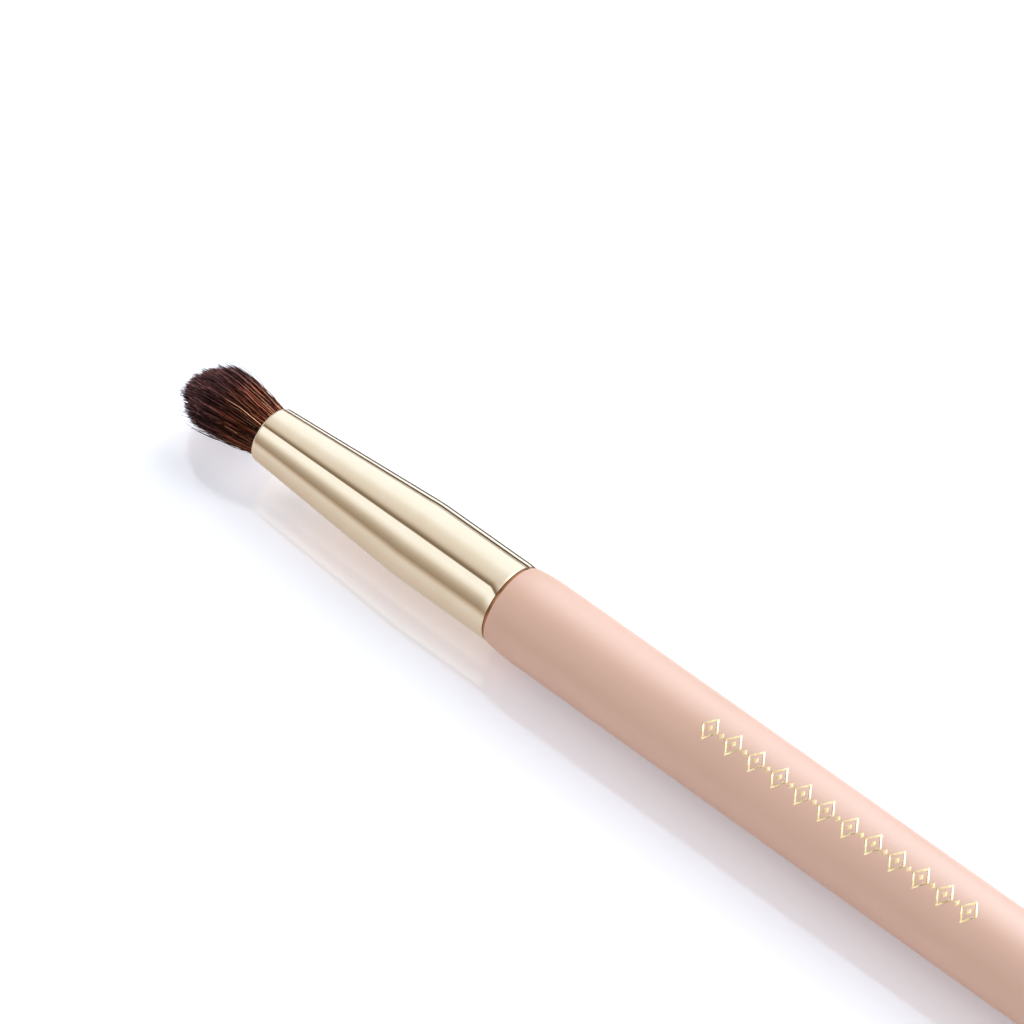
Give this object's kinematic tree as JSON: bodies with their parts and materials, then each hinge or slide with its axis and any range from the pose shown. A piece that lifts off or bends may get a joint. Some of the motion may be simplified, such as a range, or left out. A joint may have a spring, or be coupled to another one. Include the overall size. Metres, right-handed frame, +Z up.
{
  "type": "eyeshadow brush",
  "caption": "Slim make-up brush: domed natural-look hair tuft, tapered gold-tone metal ferrule and a turned, matte rose lacquered wooden handle with a rounded tail.",
  "frame": {"origin": "under the middle of the brush's length, on the surface that it lies on", "axes": "+X along the brush from the hair's tip to the handle's tail, +Z up from the surface, +Y across"},
  "size_m": [0.17, 0.0086, 0.0087],
  "materials": {
    "handle": "turned birch under a matte rose lacquer",
    "ferrule": "polished, champagne gold",
    "hair": "dark brown natural-look hair, chestnut near the ferrule",
    "thread": "waxed cotton thread",
    "glue": "clear amber epoxy, hardened"
  },
  "bodies": {
    "root": {"handle": "handle", "ferrule": "ferrule", "hair_tuft": "hair", "tuft_binding": "thread", "root_glue": "glue", "tenon_glue": "glue"}
  },
  "joints": []
}
